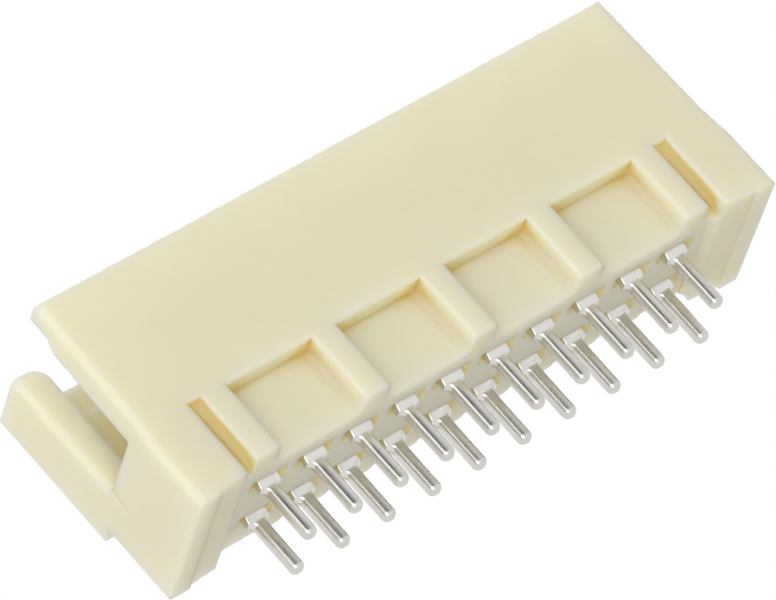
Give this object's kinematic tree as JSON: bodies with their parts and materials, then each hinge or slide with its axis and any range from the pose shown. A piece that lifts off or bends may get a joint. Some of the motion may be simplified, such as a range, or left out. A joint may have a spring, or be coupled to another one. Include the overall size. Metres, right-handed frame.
{
  "type": "shrouded pin header",
  "caption": "Ivory moulded shrouded pin header with rows of square tin-plated contacts, slotted ends and a recessed near wall, for soldering to a circuit board.",
  "frame": {"origin": "middle of the contact field on the board surface, where the pads of the two feet sit", "axes": "+X along the rows of contacts, -Y the near wall with the recesses, +Z the mating direction, away from the board"},
  "size_m": [0.0254, 0.0062, 0.0111],
  "materials": {
    "housing": "fine moulded satin, slightly translucent ivory",
    "contacts": "bright drawn tin plate"
  },
  "bodies": {
    "root": {"housing": "housing", "contact_a01": "contacts", "contact_a02": "contacts", "contact_a03": "contacts", "contact_a04": "contacts", "contact_a05": "contacts", "contact_a06": "contacts", "contact_a07": "contacts", "contact_a08": "contacts", "contact_a09": "contacts", "contact_a10": "contacts", "contact_b01": "contacts", "contact_b02": "contacts", "contact_b03": "contacts", "contact_b04": "contacts", "contact_b05": "contacts", "contact_b06": "contacts", "contact_b07": "contacts", "contact_b08": "contacts", "contact_b09": "contacts", "contact_b10": "contacts"}
  },
  "joints": []
}
